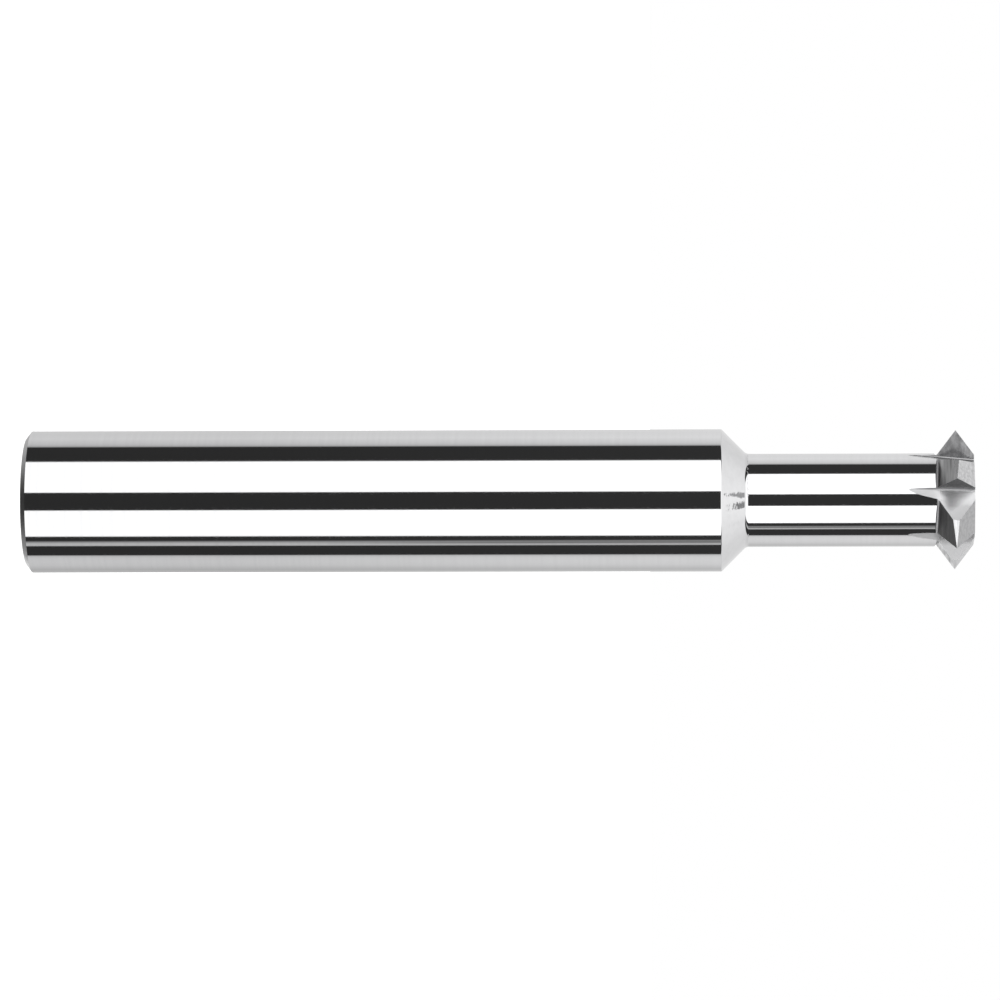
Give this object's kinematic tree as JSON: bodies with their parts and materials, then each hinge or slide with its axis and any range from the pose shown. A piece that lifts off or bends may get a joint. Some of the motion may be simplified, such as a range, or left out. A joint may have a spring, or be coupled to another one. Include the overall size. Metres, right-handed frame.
{
  "type": "double-angle cutter",
  "caption": "Solid-carbide double-angle cutter: straight polished shank, coned shoulder, thinner neck and a V-shaped toothed head for grooves and chamfers.",
  "frame": {"origin": "centre of the flat shank end, which the tool stands on", "axes": "+Z runs along the tool axis from the shank end to the cutting head; the cutting edges travel from +X towards +Y"},
  "size_m": [0.0096, 0.0096, 0.0635],
  "materials": {
    "carbide": "bare cemented carbide, mirror-polished on the shank and neck, finely ground on the head"
  },
  "bodies": {
    "root": {"double_angle_cutter": "carbide"}
  },
  "joints": []
}
